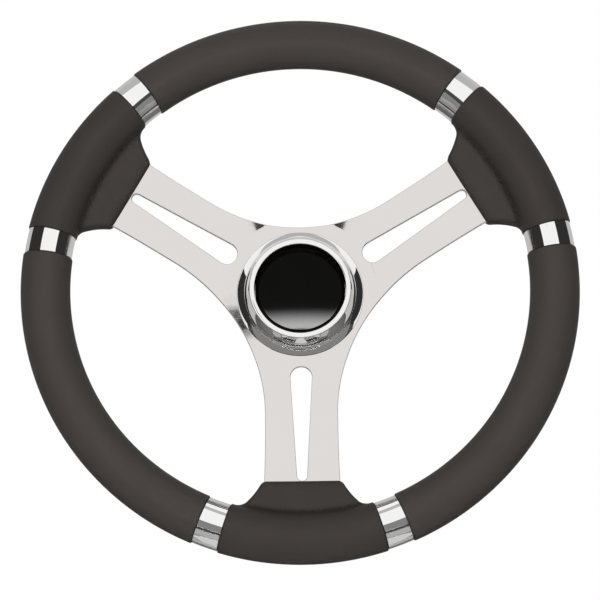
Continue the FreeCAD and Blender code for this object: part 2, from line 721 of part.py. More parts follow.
def build_hub_screws(doc):
    """The countersunk screws that clamp bezel, plate and hub, each with a hexagon socket."""
    head = bind(
        doc.addObject("Part::Cone", "screw_head"),
        Radius1="Sizes.screw_radius",
        Radius2="Sizes.screw_head_radius",
        Height=SINK_DEPTH,
    )
    shank = bind(
        doc.addObject("Part::Cylinder", "screw_shank"),
        Radius="Sizes.screw_radius",
        Height=f"Sizes.screw_length - {SINK_DEPTH}",
    )
    shank.setExpression("Placement.Base.z", f"{SINK_DEPTH} - Sizes.screw_length")
    solid = doc.addObject("Part::Fuse", "screw_solid")
    solid.Base = head
    solid.Tool = shank
    socket = bind(
        doc.addObject("Part::Prism", "screw_socket"),
        Circumradius="Sizes.hex_socket_radius",
        Height="Sizes.hex_socket_depth",
    )
    socket.Polygon = HEX_SIDES
    socket.setExpression("Placement.Base.z", f"{SINK_DEPTH} - Sizes.hex_socket_depth")
    screw = doc.addObject("Part::Cut", "one_screw")
    screw.Base = solid
    screw.Tool = socket
    doc.recompute()
    count = int(value_of(screw, "Sizes.screw_count"))
    reach = value_of(screw, "Sizes.screw_circle_radius")
    height = value_of(screw, f"{FLOOR_TOP} - Sizes.screw_head_inset - {SINK_DEPTH}")
    copies = []
    for number in range(count):
        copy = screw.Shape.copy()
        copy.translate(FreeCAD.Vector(reach, 0, height))
        copy.rotate(FreeCAD.Vector(), FreeCAD.Vector(0, 0, 1), number * FULL_TURN / count)
        copies.append(copy)
    screws = doc.addObject("Part::Feature", "hub_screws")
    screws.Label = "hub_screws"
    screws.Shape = Part.makeCompound(copies)
    return stand_up(screws)


def check_document(doc, pieces):
    """Stop if any object failed or any piece is missing or not a sound solid."""
    failed = [item.Name for item in doc.Objects if {"Invalid", "Error"} & set(item.State)]
    if failed:
        raise RuntimeError(f"failed objects: {', '.join(failed)}")
    for piece in pieces:
        shape = piece.Shape
        if shape.isNull() or not shape.isValid() or not shape.Solids:
            raise RuntimeError(f"{piece.Label} is not a valid solid")


def build_wheel(doc):
    """Every separate piece of the wheel, in order from the hub outwards."""
    pieces = [
        build_hub_boss(doc),
        build_spoke_plate(doc),
        build_hub_bezel(doc),
        build_hub_screws(doc),
        build_centre_cap(doc),
        build_rim_ring(doc),
    ]
    sleeve_angle = value_of(pieces[0], "Sizes.sleeve_angle")
    for side, arm_angle in ARMS.items():
        pieces.append(build_spoke_grip(doc, f"spoke_grip_{side}", arm_angle))
        for turn, place in zip((1, -1), SLEEVES[side]):
            pieces.append(build_sleeve(doc, f"sleeve_{place}", arm_angle + turn * sleeve_angle))
    for place, angle in RIM_GRIPS.items():
        pieces.append(build_rim_grip(doc, f"grip_{place}", angle))
    return pieces


def main():
    """Build the wheel, check it and write one file for each piece."""
    doc = FreeCAD.newDocument("boat_steering_wheel")
    make_sheet(doc)
    pieces = build_wheel(doc)
    doc.recompute()
    check_document(doc, pieces)
    os.makedirs("parts", exist_ok=True)
    for piece in pieces:
        piece.Shape.exportStep(os.path.join("parts", f"{piece.Label}.step"))
        print(f"{piece.Label}: {len(piece.Shape.Solids)} solid, {piece.Shape.Volume / MM3_PER_CM3:.2f} cm3")


main()
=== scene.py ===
"""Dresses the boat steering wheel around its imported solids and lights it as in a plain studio.

Lengths are in metres. The wheel's axis runs along Y, its driver's side faces -Y, and one spoke
points straight down. A point of the wheel is given by its radius and angle about the axis (0 to
the right, 90 up) and its height towards the driver above the hub's rear face.
"""
import sys

import logging
import math
from dataclasses import dataclass
from enum import Enum

import bpy
import numpy as np
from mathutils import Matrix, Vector, noise
from mathutils.geometry import delaunay_2d_cdt


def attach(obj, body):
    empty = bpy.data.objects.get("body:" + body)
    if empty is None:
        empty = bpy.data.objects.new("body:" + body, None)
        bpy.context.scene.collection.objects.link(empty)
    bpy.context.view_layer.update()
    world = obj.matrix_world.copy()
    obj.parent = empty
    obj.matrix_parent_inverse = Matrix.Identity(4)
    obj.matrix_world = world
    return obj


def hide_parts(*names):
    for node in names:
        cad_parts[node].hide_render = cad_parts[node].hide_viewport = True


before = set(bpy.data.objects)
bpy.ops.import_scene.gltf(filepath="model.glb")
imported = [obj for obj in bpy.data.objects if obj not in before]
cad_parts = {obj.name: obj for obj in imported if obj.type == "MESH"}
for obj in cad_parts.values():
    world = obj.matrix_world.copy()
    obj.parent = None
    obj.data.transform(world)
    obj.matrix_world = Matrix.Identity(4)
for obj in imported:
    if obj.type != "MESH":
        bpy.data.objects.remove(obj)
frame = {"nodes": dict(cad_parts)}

log = logging.getLogger("wheel")

MM = 0.001
SPOKE_SPACING = 120.0
BODY = "root"


class Slot(Enum):
    """The record's material slots."""

    PLATE = "polished_plate"
    RING = "ring_steel"
    GRIP = "soft_grip"
    GRAINED = "grained_grip"
    SLEEVE = "bright_sleeve"
    BEZEL = "bright_bezel"
    CAP = "gloss_cap"
    HUB = "hub_metal"
    SCREW = "screw_steel"


def world_points(points: np.ndarray) -> np.ndarray:
    """Turn points of the wheel's plane into the row frame.

    Args:
        points: Rows of x, y and height in millimetres.

    Returns:
        The same points in metres, upright, with the driver's side facing -Y.
    """
    return np.stack([points[..., 0], -points[..., 2], points[..., 1]], axis=-1) * MM


def world_directions(vectors: np.ndarray) -> np.ndarray:
    """Turn directions of the wheel's plane into the row frame, at length one."""
    upright = np.stack([vectors[..., 0], -vectors[..., 2], vectors[..., 1]], axis=-1)
    return upright / np.linalg.norm(upright, axis=-1, keepdims=True)


def polar_point(radius: np.ndarray, degrees: np.ndarray, height: np.ndarray) -> np.ndarray:
    """Points of the wheel from radius, angle and height, in millimetres."""
    turn = np.radians(degrees)
    return np.stack([radius * np.cos(turn), radius * np.sin(turn), height + 0 * turn], axis=-1)


def arc_points(centre: tuple[float, float], radius: float, start: float, finish: float,
               count: int) -> np.ndarray:
    """Points along a circular arc in a plane.

    Args:
        centre: The arc's centre.
        radius: Its radius.
        start: The angle in degrees where it begins.
        finish: The angle in degrees where it ends.
        count: How many points, both ends included.

    Returns:
        Rows of two coordinates.
    """
    turn = np.radians(np.linspace(start, finish, count))
    return np.stack([centre[0] + radius * np.cos(turn), centre[1] + radius * np.sin(turn)], axis=-1)


def new_object(name: str, data: bpy.types.ID) -> bpy.types.Object:
    """A new object with its data, linked to the scene."""
    made = bpy.data.objects.new(name, data)
    bpy.context.scene.collection.objects.link(made)
    return made


class MeshMaker:
    """Makes meshes from arrays and hangs them on the wheel's one body."""

    @staticmethod
    def add(name: str, points: np.ndarray, faces: list[tuple[int, ...]],
            normals: np.ndarray | None = None, crease: float | None = None) -> bpy.types.Object:
        """Make a mesh object from points in the row frame.

        Args:
            name: The piece's name.
            points: Rows of coordinates in metres.
            faces: Corner numbers of each face.
            normals: One unit normal for each point, or None for the mesh's own.
            crease: The angle in degrees above which an edge stays sharp, or None for none.

        Returns:
            The new object, riding on the wheel's body.
        """
        mesh = bpy.data.meshes.new(name)
        mesh.from_pydata(points.tolist(), [], faces)
        mesh.validate()
        mesh.polygons.foreach_set("use_smooth", [True] * len(mesh.polygons))
        if crease is not None:
            mesh.set_sharp_from_angle(angle=math.radians(crease))
        if normals is not None:
            mesh.normals_split_custom_set_from_vertices(normals.tolist())
        mesh.update()
        piece = new_object(name, mesh)
        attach(piece, BODY)
        return piece

    @staticmethod
    def grid_faces(rows: int, columns: int, close_rows: bool, close_columns: bool,
                   first: int = 0) -> list[tuple[int, ...]]:
        """Faces of a grid of points stored row after row.

        Args:
            rows: The number of rows.
            columns: The number of points in a row.
            close_rows: Whether the last row joins the first.
            close_columns: Whether each row's last point joins its first.
            first: The number of the grid's first point.

        Returns:
            Four corners for each face.
        """
        faces = []
        for row in range(rows if close_rows else rows - 1):
            after = (row + 1) % rows
            for column in range(columns if close_columns else columns - 1):
                beside = (column + 1) % columns
                faces.append((
                    first + row * columns + column,
                    first + row * columns + beside,
                    first + after * columns + beside,
                    first + after * columns + column,
                ))
        return faces


@dataclass(frozen=True)
class NodeSheet:
    """A material's node tree with short ways to add and join nodes."""

    material: bpy.types.Material

    @classmethod
    def blank(cls, name: str) -> "NodeSheet":
        """A new material that holds one principled shader."""
        material = bpy.data.materials.new(name)
        material.use_nodes = True
        return cls(material)

    @property
    def shader(self) -> bpy.types.Node:
        """The principled shader."""
        return self.material.node_tree.nodes["Principled BSDF"]

    def node(self, kind: str, **settings: object) -> bpy.types.Node:
        """Add a node; settings name its properties, or its input sockets with spaces as underscores.

        Args:
            kind: The node's type.
            **settings: Values of its properties and inputs.

        Returns:
            The new node.
        """
        made = self.material.node_tree.nodes.new(kind)
        for name, value in settings.items():
            socket = name.replace("_", " ")
            if socket in made.inputs:
                made.inputs[socket].default_value = value
            else:
                setattr(made, name, value)
        return made

    def join(self, source: bpy.types.NodeSocket, target: bpy.types.NodeSocket) -> None:
        """Link an output to an input."""
        self.material.node_tree.links.new(source, target)

    def place(self) -> bpy.types.NodeSocket:
        """The object's own coordinates, which keep every pattern at its real size."""
        return self.node("ShaderNodeTexCoord").outputs["Object"]

    def noise(self, size: float, detail: float = 3.0, roughness: float = 0.5,
              stretch: tuple[float, float, float] = (1, 1, 1)) -> bpy.types.NodeSocket:
        """Soft noise whose blots have a given size.

        Args:
            size: The size of a blot, in metres.
            detail: The number of finer layers.
            roughness: How strong the finer layers are.
            stretch: How much finer the noise is along each axis.

        Returns:
            The noise's value.
        """
        mapping = self.node("ShaderNodeMapping", Scale=stretch)
        self.join(self.place(), mapping.inputs["Vector"])
        made = self.node("ShaderNodeTexNoise", Scale=1 / size, Detail=detail, Roughness=roughness)
        self.join(mapping.outputs["Vector"], made.inputs["Vector"])
        return made.outputs["Fac"]

    def cells(self, size: float) -> bpy.types.NodeSocket:
        """Cells of a given size in metres, as the distance to their edges."""
        made = self.node("ShaderNodeTexVoronoi", feature="DISTANCE_TO_EDGE", Scale=1 / size)
        self.join(self.place(), made.inputs["Vector"])
        return made.outputs["Distance"]

    def spread(self, value: bpy.types.NodeSocket, low: float, high: float, start: float = 0.0,
               finish: float = 1.0) -> bpy.types.NodeSocket:
        """Map a value from one range to another.

        Args:
            value: The value to map.
            low: The result at the range's start.
            high: The result at its end.
            start: Where the range begins.
            finish: Where it ends.

        Returns:
            The mapped value.
        """
        made = self.node("ShaderNodeMapRange")
        self.join(value, made.inputs["Value"])
        for socket, number in zip(("From Min", "From Max", "To Min", "To Max"),
                                  (start, finish, low, high)):
            made.inputs[socket].default_value = number
        return made.outputs["Result"]

    def combine(self, operation: str, first: bpy.types.NodeSocket,
                second: bpy.types.NodeSocket | float) -> bpy.types.NodeSocket:
        """Combine two values with a maths operation."""
        made = self.node("ShaderNodeMath", operation=operation)
        self.join(first, made.inputs[0])
        if isinstance(second, float):
            made.inputs[1].default_value = second
        else:
            self.join(second, made.inputs[1])
        return made.outputs["Value"]

    def blend(self, factor: bpy.types.NodeSocket, low: tuple[float, float, float],
              high: tuple[float, float, float]) -> bpy.types.NodeSocket:
        """A colour between two, by a factor."""
        made = self.node("ShaderNodeMix", data_type="RGBA")
        self.join(factor, made.inputs["Factor"])
        for socket in made.inputs:
            if socket.type == "RGBA":
                socket.default_value = (*(low if socket.name == "A" else high), 1.0)
        return next(socket for socket in made.outputs if socket.type == "RGBA")

    def raise_surface(self, height: bpy.types.NodeSocket, depth: float,
                      under: bpy.types.NodeSocket | None = None) -> bpy.types.NodeSocket:
        """Bump the surface by a height from 0 to 1 times a depth in metres."""
        made = self.node("ShaderNodeBump", Strength=1.0, Distance=depth)
        self.join(height, made.inputs["Height"])
        if under is not None:
            self.join(under, made.inputs["Normal"])
        return made.outputs["Normal"]


@dataclass(frozen=True)
class BrightMetal:
    """Polished metal, with faint polishing waves, fine haze and wiping marks."""

    name: str
    colour: tuple[float, float, float]
    shade: float
    clear: float
    hazy: float
    wave_size: float
    wave_depth: float

    def material(self) -> bpy.types.Material:
        """Build the metal's material."""
        sheet = NodeSheet.blank(self.name)
        shader = sheet.shader
        shader.inputs["Metallic"].default_value = 1.0
        dull = tuple(part * self.shade for part in self.colour)
        sheet.join(sheet.blend(sheet.noise(0.045, 2.0), self.colour, dull), shader.inputs["Base Color"])
        haze = sheet.noise(0.006, 4.0, 0.6, (1.0, 1.0, 3.0))
        sheet.join(sheet.spread(haze, self.clear, self.hazy, 0.35, 0.75), shader.inputs["Roughness"])
        wave = sheet.raise_surface(sheet.noise(self.wave_size, 1.0), self.wave_depth)
        scuff = sheet.raise_surface(sheet.noise(0.0004, 2.0, 0.6, (1.0, 1.0, 12.0)), 2e-7, wave)
        sheet.join(scuff, shader.inputs["Normal"])
        return sheet.material


@dataclass(frozen=True)
class SoftGrip:
    """Charcoal moulded grip with a fine skin, and, where it is masked, creased leather graining whose creases
    carry painted shade.
    """

    name: str
    colour: tuple[float, float, float]
    worn: tuple[float, float, float]
    rough: float = 0.50
    level: float = 0.12
    pore_size: float = 0.0007
    pore_depth: float = 6e-5
    grain_size: float = 0.0016
    grain_depth: float = 0.0

    def material(self) -> bpy.types.Material:
        """Build the grip's material."""
        sheet = NodeSheet.blank(self.name)
        shader = sheet.shader
        tone = sheet.blend(sheet.noise(0.02, 4.0, 0.6), self.colour, self.worn)
        mask = sheet.node("ShaderNodeAttribute", attribute_name="grain_and_shade").outputs["Fac"]
        cells = sheet.spread(sheet.cells(self.grain_size), 0.0, 1.0, 0.0, 0.28)
        crease = sheet.combine("MULTIPLY", sheet.combine("SUBTRACT", cells, 1.0), mask)
        # Painted shade: the creases of the masked skin are multiplied towards a dark colour, as if shade fell
        # in them.
        crease_shade = sheet.node("ShaderNodeMix", data_type="RGBA", blend_type="MULTIPLY")
        sheet.join(sheet.spread(crease, 0.75, 0.0, -1.0, 0.0), crease_shade.inputs["Factor"])
        colours = [socket for socket in crease_shade.inputs if socket.type == "RGBA"]
        sheet.join(tone, colours[0])
        # The colour of the painted shade in the creases.
        colours[1].default_value = (0.15, 0.14, 0.13, 1.0)
        result = next(socket for socket in crease_shade.outputs if socket.type == "RGBA")
        sheet.join(result, shader.inputs["Base Color"])
        gloss = sheet.spread(sheet.noise(0.012, 3.0), self.rough - 0.05, self.rough + 0.06)
        sheet.join(gloss, shader.inputs["Roughness"])
        shader.inputs["Specular IOR Level"].default_value = self.level
        pores = sheet.combine("ADD", sheet.cells(self.pore_size), sheet.noise(self.pore_size * 2, 3.0))
        fine = sheet.raise_surface(pores, self.pore_depth)
        deep = sheet.raise_surface(crease, self.grain_depth, fine)
        sheet.join(deep, shader.inputs["Normal"])
        return sheet.material


@dataclass(frozen=True)
class GlossPlastic:
    """Black moulded plastic, polished, with faint dust haze."""

    name: str
    colour: tuple[float, float, float]
    rough: float
    level: float

    def material(self) -> bpy.types.Material:
        """Build the plastic's material."""
        sheet = NodeSheet.blank(self.name)
        shader = sheet.shader
        paler = tuple(part * 1.3 for part in self.colour)
        sheet.join(sheet.blend(sheet.noise(0.01, 3.0), self.colour, paler), shader.inputs["Base Color"])
        haze = sheet.spread(sheet.noise(0.004, 4.0), self.rough * 0.8, self.rough * 1.3)
        sheet.join(haze, shader.inputs["Roughness"])
        shader.inputs["Specular IOR Level"].default_value = self.level
        wave = sheet.raise_surface(sheet.noise(0.02, 1.0), 1e-5)
        sheet.join(wave, shader.inputs["Normal"])
        return sheet.material


@dataclass(frozen=True)
class TurnedMetal:
    """Metal as it leaves the lathe, with fine rings about the wheel's axis."""

    name: str
    colour: tuple[float, float, float]
    rough: float
    ring_pitch: float

    def material(self) -> bpy.types.Material:
        """Build the metal's material."""
        sheet = NodeSheet.blank(self.name)
        shader = sheet.shader
        shader.inputs["Metallic"].default_value = 1.0
        stained = tuple(part * 0.85 for part in self.colour)
        sheet.join(sheet.blend(sheet.noise(0.008, 4.0), self.colour, stained), shader.inputs["Base Color"])
        gloss = sheet.spread(sheet.noise(0.003, 3.0), self.rough, self.rough + 0.12)
        sheet.join(gloss, shader.inputs["Roughness"])
        rings = sheet.node("ShaderNodeTexWave", wave_type="RINGS", rings_direction="Y",
                           Scale=1 / (self.ring_pitch * 20), Distortion=0.4, Detail=1.0)
        sheet.join(sheet.place(), rings.inputs["Vector"])
        sheet.join(sheet.raise_surface(rings.outputs["Fac"], 4e-6), shader.inputs["Normal"])
        return sheet.material


@dataclass(frozen=True)
class Rim:
    """Sizes that all the rim's sections share, in millimetres.

    Attributes:
        spine: The radius of the rim's centre line.
        plane: The height of the rim's middle plane.
        grip: The radius of a grip section.
        sleeve: The radius of a trim sleeve.
        bore: The radius of the hole for the ring.
        sleeve_length: The length of a sleeve along the centre line.
        sleeve_turn: The angle in degrees between a spoke and its sleeves.
        gap: The joint between two sections.
    """

    spine: float = 159.5
    plane: float = 63.4
    grip: float = 15.5
    sleeve: float = 14.8
    bore: float = 5.1
    sleeve_length: float = 15.2
    sleeve_turn: float = 20.1
    gap: float = 0.12

    def degrees(self, length: float) -> float:
        """The turn in degrees that a length along the centre line takes."""
        return math.degrees(length / self.spine)

    @property
    def joint(self) -> float:
        """The turn in degrees from a sleeve's middle to the section next to it."""
        return self.degrees(self.sleeve_length / 2 + self.gap)


class Finishes:
    """The wheel's finishes, each made once."""

    def __init__(self) -> None:
        """Make every material."""
        charcoal, worn = (0.046, 0.0395, 0.0355), (0.055, 0.048, 0.043)
        dark, dusty = (0.037, 0.032, 0.029), (0.045, 0.039, 0.035)
        self.plate = BrightMetal(
            "plate_polish", (0.74, 0.715, 0.70), shade=0.97, clear=0.03, hazy=0.06,
            wave_size=0.03, wave_depth=4e-6).material()
        self.trim = BrightMetal(
            "trim_polish", (0.90, 0.895, 0.89), shade=0.98, clear=0.02, hazy=0.04,
            wave_size=0.012, wave_depth=1.2e-5).material()
        self.bezel = BrightMetal(
            "bezel_polish", (0.88, 0.87, 0.865), shade=0.98, clear=0.015, hazy=0.03,
            wave_size=0.03, wave_depth=3e-6).material()
        self.steel = TurnedMetal("plain_steel", (0.45, 0.45, 0.45), rough=0.3, ring_pitch=0.0004).material()
        self.hub = TurnedMetal("turned_aluminium", (0.62, 0.62, 0.63), rough=0.28, ring_pitch=0.0005).material()
        self.grip = SoftGrip("grip_skin", charcoal, worn).material()
        # This skin also carries painted shade in its creases, where the mesh's mask says.
        self.grained = SoftGrip("grained_skin_with_painted_shade", dark, dusty, grain_depth=3e-4).material()
        self.cap = GlossPlastic("cap_gloss", (0.0016, 0.0014, 0.0012), rough=0.07, level=0.05).material()


@dataclass
class LongGrip:
    """One of the three long smooth grip sections."""

    node: str
    angle: float
    rim: Rim = Rim()
    end_round: float = 0.9
    around: int = 72
    along: int = 150

    def build(self) -> bpy.types.Object:
        """Build the section as rings swept about the axis, with rounded ends and the bore."""
        half = SPOKE_SPACING / 2 - self.rim.sleeve_turn - self.rim.joint
        corner = self.rim.degrees(self.end_round)
        turns = np.linspace(corner - half, half - corner, self.along)
        sections = [(float(turn), self.rim.grip) for turn in turns]
        for angle in np.radians(np.arange(75, -1, -15)):
            inset = self.rim.grip - self.end_round * (1 - math.sin(angle))
            beyond = half - corner * (1 - math.cos(angle))
            sections = [(-beyond, inset), *sections, (beyond, inset)]
        sections = [(-half, self.rim.bore), *sections, (half, self.rim.bore)]
        return sweep_sections(self.node, self.angle, self.rim, sections, self.around)

    def dress(self, finishes: Finishes) -> bpy.types.Object:
        """Build the section, give it its skin and let it stand for its solid."""
        return settle(self.build(), self.node, finishes.grip)


def sweep_sections(name: str, angle: float, rim: Rim, sections: list[tuple[float, float]],
                   around: int) -> bpy.types.Object:
    """Join round sections about the rim's centre line, first to last and back through the bore.

    Args:
        name: The CAD node that the piece stands for.
        angle: The middle of the piece about the wheel's axis, in degrees.
        rim: The rim's sizes.
        sections: For each section its turn from the middle, in degrees, and its radius.
        around: The number of points round a section.

    Returns:
        The new object.
    """
    ring = np.radians(np.arange(around) * 360.0 / around)
    (first, bore), (last, _) = sections[0], sections[-1]
    rows = []
    for turn, radius in sections + bore_sections(last, first, bore):
        rows.append(polar_point(rim.spine + radius * np.cos(ring), np.full(around, angle + turn),
                                rim.plane + radius * np.sin(ring)))
    points = world_points(np.concatenate(rows[::-1]))
    faces = MeshMaker.grid_faces(len(rows), around, True, True)
    return MeshMaker.add(f"{name}_dressed", points, faces, crease=35.0)


def bore_sections(start: float, finish: float, bore: float) -> list[tuple[float, float]]:
    """Sections that lead back through the bore, about two degrees apart.

    Args:
        start: The turn of the end they leave, in degrees.
        finish: The turn of the end they reach.
        bore: The bore's radius.

    Returns:
        Turns and radii, without the two ends.
    """
    steps = max(4, int(abs(finish - start) / 2))
    return [(float(turn), bore) for turn in np.linspace(start, finish, steps + 1)[1:-1]]


def settle(piece: bpy.types.Object, node: str, material: bpy.types.Material) -> bpy.types.Object:
    """Give a piece its material and let it stand for a CAD node."""
    piece.data.materials.clear()
    piece.data.materials.append(material)
    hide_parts(node)
    return piece


@dataclass
class TrimSleeve:
    """One of the six bright sleeves between two grip sections."""

    node: str
    angle: float
    rim: Rim = Rim()
    chamfer: float = 0.4
    around: int = 160
    along: int = 18

    def build(self) -> bpy.types.Object:
        """Build the sleeve as swept rings with chamfered ends."""
        half = self.rim.degrees(self.rim.sleeve_length / 2)
        body = half - self.rim.degrees(self.chamfer)
        edge = self.rim.sleeve - self.chamfer
        sections = [(-half, self.rim.bore), (-half, edge)]
        sections += [(float(turn), self.rim.sleeve) for turn in np.linspace(-body, body, self.along)]
        sections += [(half, edge), (half, self.rim.bore)]
        return sweep_sections(self.node, self.angle, self.rim, sections, self.around)

    def dress(self, finishes: Finishes) -> bpy.types.Object:
        """Build the sleeve, polish it and let it stand for its solid."""
        return settle(self.build(), self.node, finishes.trim)


@dataclass
class SpokeGrip:
    """A moulded grip section that swells from the rim over the end of a spoke."""

    node: str
    angle: float
    rim: Rim = Rim()
    end_round: float = 0.5
    tilt: float = 13.307
    edge_distance: float = 123.2
    edge_half_width: float = 24.6
    web_half_thickness: float = 5.5
    side_radius: float = 44.0
    side_angle: float = 16.6
    side_sink: float = 4.5
    edge_round: float = 2.4
    root_round: float = 3.4
    crease_width: float = 2.6
    wrinkle_depth: float = 0.16
    along: int = 176
    around: int = 184
    rays: int = 900

    def side_centre(self) -> tuple[float, float]:
        """The centre of the arc that hollows a side of the web."""
        reach = self.rim.spine - self.rim.grip + self.side_sink
        turn = math.radians(self.side_angle)
        start = np.array([self.edge_distance, self.edge_half_width])
        finish = np.array([reach * math.cos(turn), reach * math.sin(turn)])
        chord = finish - start
        length = np.linalg.norm(chord)
        left = np.array([-chord[1], chord[0]]) / length
        centre = (start + finish) / 2 + left * math.sqrt(self.side_radius ** 2 - length ** 2 / 4)
        return float(centre[0]), float(centre[1])

    def tube_depth(self, reach: np.ndarray, rise: np.ndarray) -> np.ndarray:
        """Signed distance from the rim's round section, negative inside."""
        return np.hypot(reach, rise) - self.rim.grip

    def web_depth(self, turn: np.ndarray, reach: np.ndarray, rise: np.ndarray) -> np.ndarray:
        """Signed distance from the web, with its edges rounded.

        Args:
            turn: Angles from the spoke's middle, in radians.
            reach: Distances outwards from the rim's centre line.
            rise: Heights above the rim's middle plane.

        Returns:
            Distances in millimetres, negative inside.
        """
        lean = math.radians(self.tilt)
        off = np.abs(-reach * math.sin(lean) + rise * math.cos(lean)) - self.web_half_thickness
        along = (self.rim.spine + reach) * np.cos(turn)
        beside = np.abs((self.rim.spine + reach) * np.sin(turn))
        centre = self.side_centre()
        side = self.side_radius - np.hypot(along - centre[0], beside - centre[1])
        outline = self.round_both(self.edge_distance - along, side)
        return self.round_both(off, np.maximum(outline, reach))

    def round_both(self, first: np.ndarray, second: np.ndarray) -> np.ndarray:
        """What lies inside both shapes, with the edge between them rounded."""
        size = self.edge_round
        over = np.hypot(np.maximum(size + first, 0), np.maximum(size + second, 0))
        return np.minimum(-size, np.maximum(first, second)) + over

    def depth(self, turn: np.ndarray, reach: np.ndarray, rise: np.ndarray) -> np.ndarray:
        """Signed distance from the whole section, with a round root along the rim."""
        tube = self.tube_depth(reach, rise)
        web = self.web_depth(turn, reach, rise)
        size = self.root_round
        under = np.hypot(np.maximum(size - tube, 0), np.maximum(size - web, 0))
        return np.maximum(size, np.minimum(tube, web)) - under

    def outline(self, turn: float) -> np.ndarray:
        """Points evenly spaced round the section at one turn from the spoke's middle.

        Args:
            turn: The turn in radians.

        Returns:
            Rows of reach and rise in millimetres.
        """
        rays = np.linspace(0, 2 * math.pi, self.rays + 1)
        inner, outer = np.full(rays.shape, self.rim.bore), np.full(rays.shape, 60.0)
        for _ in range(34):
            middle = (inner + outer) / 2
            depth = self.depth(np.full(rays.shape, turn), middle * np.cos(rays), middle * np.sin(rays))
            inside = depth < 0
            inner, outer = np.where(inside, middle, inner), np.where(inside, outer, middle)
        points = np.stack([inner * np.cos(rays), inner * np.sin(rays)], axis=-1)
        steps = np.concatenate([[0], np.cumsum(np.linalg.norm(np.diff(points, axis=0), axis=1))])
        wanted = np.arange(self.around) * steps[-1] / self.around
        return np.stack([np.interp(wanted, steps, side) for side in points.T], axis=-1)

    def crease_and_shade_mask(self, turn: np.ndarray, reach: np.ndarray, rise: np.ndarray) -> np.ndarray:
        """How deeply the skin is creased, and how much painted shade its creases get, from 0 on the rim to 1 in
        the valley beside the web.
        """
        gap = self.tube_depth(reach, rise) - self.web_depth(turn, reach, rise)
        valley = np.exp(-(gap / self.crease_width) ** 2) * (rise > -4)
        along = (self.rim.spine + reach) * np.cos(turn)
        edge = 0.3 * np.exp(-((along - self.edge_distance - 2.5) / 1.8) ** 2) * (rise > -6)
        return np.clip(valley + edge, 0, 1)

    def build(self) -> bpy.types.Object:
        """Build the section from its outlines, crease its valley and bore it for the ring."""
        half_turn = self.rim.sleeve_turn - self.rim.joint
        half, corner = math.radians(half_turn), self.end_round / self.rim.spine
        turns = np.linspace(corner - half, half - corner, self.along)
        outlines = [self.outline(float(turn)) for turn in turns]
        ring = np.arange(self.around) * 2 * math.pi / self.around
        hole = np.stack([np.cos(ring), np.sin(ring)], axis=-1) * self.rim.bore
        rows = list(zip(turns, outlines))
        for angle in np.radians((60, 30, 0)):
            shrink = 1 - self.end_round * (1 - math.sin(angle)) / self.rim.grip
            beyond = half - corner * (1 - math.cos(angle))
            rows = [(-beyond, outlines[0] * shrink), *rows, (beyond, outlines[-1] * shrink)]
        rows = [(-half, hole), *rows, (half, hole)]
        back = bore_sections(half_turn, -half_turn, self.rim.bore)
        rows += [(math.radians(turn), hole) for turn, _ in back]
        rows = rows[::-1]
        turn = np.repeat([row[0] for row in rows], self.around)
        reach = np.concatenate([row[1][:, 0] for row in rows])
        rise = np.concatenate([row[1][:, 1] for row in rows])
        points = polar_point(self.rim.spine + reach, self.angle + np.degrees(turn), self.rim.plane + rise)
        faces = MeshMaker.grid_faces(len(rows), self.around, True, True)
        piece = MeshMaker.add(f"{self.node}_dressed", world_points(points), faces)
        mask = self.crease_and_shade_mask(turn, reach, rise)
        skin = len(turns) * self.around
        mask[:-self.around * 4 - skin] = 0
        mask[-self.around * 4:] = 0
        self.wrinkle(piece, mask)
        piece.data.set_sharp_from_angle(angle=math.radians(50))
        return piece

    def wrinkle(self, piece: bpy.types.Object, mask: np.ndarray) -> None:
        """Sink fine folds into the masked skin and store the mask for its grained skin and painted crease
        shade.

        Args:
            piece: The section's object.
            mask: How deeply each point is creased.
        """
        mesh = piece.data
        # The stored mask also sets the painted shade in the skin's creases.
        store = mesh.attributes.new("grain_and_shade", "FLOAT", "POINT")
        store.data.foreach_set("value", mask.astype(np.float32))
        for number in np.flatnonzero(mask > 0.05):
            vertex = mesh.vertices[int(number)]
            fold = wrinkle_height(vertex.co)
            vertex.co -= vertex.normal * (fold * float(mask[number]) * self.wrinkle_depth * MM)

    def dress(self, finishes: Finishes) -> bpy.types.Object:
        """Build the section, give it its grained skin and let it stand for its solid."""
        return settle(self.build(), self.node, finishes.grained)


def wrinkle_height(place: Vector) -> float:
    """Depth from 0 to 1 of the soft folds at a point in metres."""
    coarse = 1 - abs(noise.noise(place * 520))
    fine = 1 - abs(noise.noise(place * 1100 + Vector((5, 3, 1))))
    return max(0.0, coarse ** 3 * 0.65 + fine ** 3 * 0.35)


